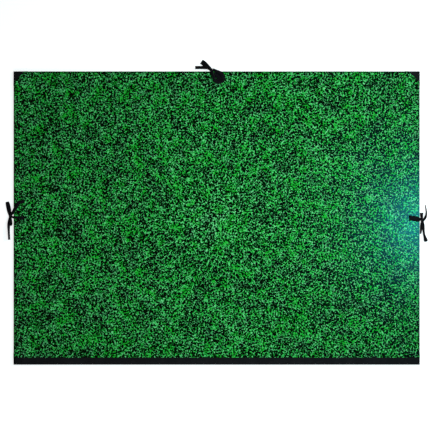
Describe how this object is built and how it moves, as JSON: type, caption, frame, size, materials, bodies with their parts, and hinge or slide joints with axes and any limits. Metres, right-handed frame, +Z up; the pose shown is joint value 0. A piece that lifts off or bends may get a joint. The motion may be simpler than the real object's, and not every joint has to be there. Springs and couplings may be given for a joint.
{
  "type": "drawing portfolio",
  "caption": "Flat drawing portfolio: two marbled paper covers on a black cloth spine, with cloth corners and ribbon ties at three edges.",
  "frame": {"origin": "on the surface that the closed portfolio lies on, under the middle of the covers", "axes": "+X along the spine, to the right as the front is read; +Y in the plane of the covers away from the spine; +Z up out of the front cover"},
  "size_m": [0.7508, 0.5431, 0.0091],
  "materials": {
    "greyboard": "matt",
    "marbled_paper": "varnished",
    "lining_paper": "matt",
    "book_cloth": "woven",
    "ribbon": "woven"
  },
  "bodies": {
    "back_cover": {"back_board": "greyboard", "back_cover_paper": "marbled_paper", "back_lining": "lining_paper", "back_spine_cloth": "book_cloth", "back_hinge_cloth": "book_cloth", "back_left_corner": "book_cloth", "back_right_corner": "book_cloth", "back_left_ribbon": "ribbon", "back_right_ribbon": "ribbon", "back_top_ribbon": "ribbon"},
    "front_cover": {"front_board": "greyboard", "front_cover_paper": "marbled_paper", "front_lining": "lining_paper", "front_spine_cloth": "book_cloth", "front_hinge_cloth": "book_cloth", "front_left_corner": "book_cloth", "front_right_corner": "book_cloth", "front_left_ribbon": "ribbon", "front_right_ribbon": "ribbon", "front_top_ribbon": "ribbon"}
  },
  "joints": [
    {"name": "cover_hinge", "type": "hinge", "parent": "back_cover", "child": "front_cover", "pos_m": [0, -0.26003, 0.00325], "axis": [1, 0, 0], "range_deg": [0, 180]}
  ]
}
